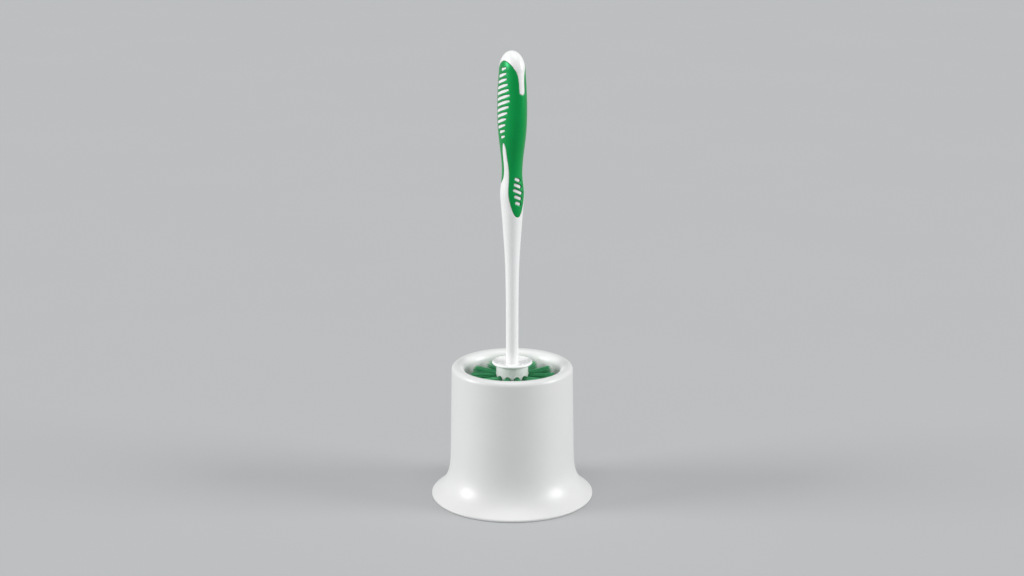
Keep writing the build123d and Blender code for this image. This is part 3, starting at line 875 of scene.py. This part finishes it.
def filament_paths(origins, aims):
    """Centre lines of every filament in a row of tufts, and the share of the length at each step.
    In its hole a filament runs straight; past the surface it leans outward in proportion to its
    place in the bundle, with a small crimp wave and a random length."""
    shape = (len(origins), FILAMENTS)
    k = np.arange(FILAMENTS)
    spread = np.sqrt((k + 0.5) / FILAMENTS)
    place = np.stack([np.cos(k * GOLDEN_TURN), np.sin(k * GOLDEN_TURN)], -1) * spread[:, None]
    place = place[None] + rng.normal(0, FILAMENT_SCATTER, (*shape, 2))
    share = np.linspace(0, 1, FILAMENT_STEPS) ** 0.9
    full = TIP_REACH - HEAD_RADIUS
    reach = full * (1 - FILAMENT_SHORTFALL * rng.random(shape) ** 1.5) - BUNDLE_CROWN * spread ** 2
    out = FILAMENT_START + share[None, None] * (reach[..., None] - FILAMENT_START)
    fan = np.clip(out / full, 0, None) ** SPLAY_POWER
    width = (TUFT_ROOT - FILAMENT_RADIUS) + (TUFT_TIP - TUFT_ROOT) * fan
    phase = rng.random((*shape, 1)) * 2 * np.pi
    crimp = CRIMP_HEIGHT * np.sin(out * 2 * np.pi / CRIMP_LENGTH + phase) * np.clip(out / CRIMP_FREE, 0, 1)
    turn = rng.random((*shape, 1)) * 2 * np.pi
    side_a = place[..., None, 0] * width + crimp * np.cos(turn)
    side_b = place[..., None, 1] * width + crimp * np.sin(turn)
    first = np.cross(np.where(np.abs(aims[:, 2:]) > 0.99, (1.0, 0.0, 0.0), (0.0, 0.0, 1.0)), aims)
    first /= np.linalg.norm(first, axis=-1, keepdims=True)
    second = np.cross(aims, first)
    path = (origins[:, None, None] + aims[:, None, None] * out[..., None]
            + first[:, None, None] * side_a[..., None] + second[:, None, None] * side_b[..., None])
    return path.reshape(-1, FILAMENT_STEPS, 3), share


def make_tufts(number, origins, aims, material):
    """One row of tufts: a thin tube along every filament's path, closed at both ends. shade is one
    random value for each filament, and along runs from 0 at its inner end to 1 at its tip."""
    path, share = filament_paths(origins, aims)
    count = len(path)
    size = FILAMENT_STEPS * FILAMENT_SIDES
    tangent = np.gradient(path, axis=1)
    tangent /= np.linalg.norm(tangent, axis=-1, keepdims=True)
    helper = np.where(np.abs(tangent[..., 2:]) > 0.8, (1.0, 0.0, 0.0), (0.0, 0.0, 1.0))
    across = np.cross(tangent, helper)
    across /= np.linalg.norm(across, axis=-1, keepdims=True)
    other = np.cross(tangent, across)
    turn = 2 * np.pi * np.arange(FILAMENT_SIDES) / FILAMENT_SIDES
    ring = across[..., None, :] * np.cos(turn)[:, None] + other[..., None, :] * np.sin(turn)[:, None]
    taper = (1 - 0.25 * smooth_step(0.9, 1.0, share))[None, :, None, None]
    points = (path[:, :, None] + ring * FILAMENT_RADIUS * taper).reshape(-1, 3)
    inner_end = np.arange(FILAMENT_SIDES)[::-1][None]
    tip = size - FILAMENT_SIDES + np.arange(FILAMENT_SIDES)[None]
    one = np.vstack([ring_faces(FILAMENT_STEPS, FILAMENT_SIDES), inner_end, tip])
    faces = (one[None] + (np.arange(count) * size)[:, None, None]).reshape(-1, 4)
    shade = np.repeat(np.clip(rng.normal(0.5, 0.2, count), 0, 1), size)
    along = np.tile(np.repeat(share, FILAMENT_SIDES), count)
    add_mesh(f"bristle_tufts_{number:02d}", points, faces.tolist(), "brush", "green_bristle",
             [f"tufts_row_{number:02d}"], material, shade=shade, along=along)


# ---------------------------------------------------------------- studio
def make_floor():
    """A wide flat disc of rings, closed by a fan round its middle."""
    rings = np.geomspace(FLOOR_INNER, FLOOR_OUTER, FLOOR_RINGS)
    grid = spin(np.stack([rings, FLOOR_LEVEL + 0 * rings], -1), FLOOR_COLUMNS)
    points = np.vstack([grid.reshape(-1, 3), (0, 0, FLOOR_LEVEL)])
    c = np.arange(FLOOR_COLUMNS)
    middle = np.stack([np.full(FLOOR_COLUMNS, len(points) - 1), (c + 1) % FLOOR_COLUMNS, c], -1)
    faces = ring_faces(FLOOR_RINGS, FLOOR_COLUMNS)[:, ::-1].tolist() + middle.tolist()
    mesh = bpy.data.meshes.new("studio_floor")
    mesh.from_pydata((points * MM).tolist(), [], faces)
    mesh.materials.append(pale_floor())
    floor = bpy.data.objects.new("studio_floor", mesh)
    bpy.context.scene.collection.objects.link(floor)


def soft_sun(name, azimuth, elevation, spread, strength):
    """A wide light from one side. Angles are in degrees: azimuth from the front, elevation above the
    floor, and spread across the sky."""
    a, e = math.radians(azimuth), math.radians(elevation)
    light = bpy.data.lights.new(name, "SUN")
    light.angle = math.radians(spread)
    light.energy = strength
    lamp = bpy.data.objects.new(name, light)
    towards = Vector((math.sin(a) * math.cos(e), -math.cos(a) * math.cos(e), math.sin(e)))
    lamp.location = towards * 2
    lamp.rotation_euler = towards.to_track_quat("Z", "Y").to_euler()
    bpy.context.scene.collection.objects.link(lamp)


def make_camera():
    """Camera 589 mm above the floor, 1.5 m from the axis and 15 degrees down, standing VIEW_TURN to
    the left of the grip's front."""
    azimuth = -VIEW_TURN
    camera = bpy.data.cameras.new("camera")
    camera.sensor_width = 36.0
    camera.lens = 64.16
    camera.shift_x = -0.0002
    eye = bpy.data.objects.new("camera", camera)
    distance, height, down = 1.5, 0.589, math.radians(15.05)
    eye.location = (math.sin(azimuth) * distance, -math.cos(azimuth) * distance, height)
    eye.rotation_euler = (math.pi / 2 - down, 0, azimuth)
    bpy.context.scene.collection.objects.link(eye)
    bpy.context.scene.camera = eye


def make_lights():
    """A broad light from each side of the camera and one from above, in a pale even surround."""
    view = -math.degrees(VIEW_TURN)
    soft_sun("left_light", azimuth=view - 82, elevation=17, spread=26, strength=2.0)
    soft_sun("right_light", azimuth=view + 80, elevation=17, spread=26, strength=1.85)
    soft_sun("top_light", azimuth=view, elevation=80, spread=50, strength=1.2)
    world = bpy.data.worlds.new("studio")
    world.use_nodes = True
    background = world.node_tree.nodes["Background"]
    background.inputs["Color"].default_value = (0.9, 0.93, 0.95, 1)
    background.inputs["Strength"].default_value = 0.44
    bpy.context.scene.world = world
    bpy.context.scene.view_settings.view_transform = "Standard"


# ---------------------------------------------------------------- assembly
make_camera()
make_lights()
make_floor()
make_caddy()
make_handle_core()
make_soft_grip()
tuft_rows = tuft_frames()
make_brush_head(tuft_rows)
bristle = nylon_bristle()
wire = galvanised_wire()
for number, (origins, aims) in enumerate(tuft_rows, start=1):
    make_tufts(number, origins, aims, bristle)
    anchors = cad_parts[f"anchors_row_{number:02d}"]
    anchors.data.materials.clear()
    anchors.data.materials.append(wire)
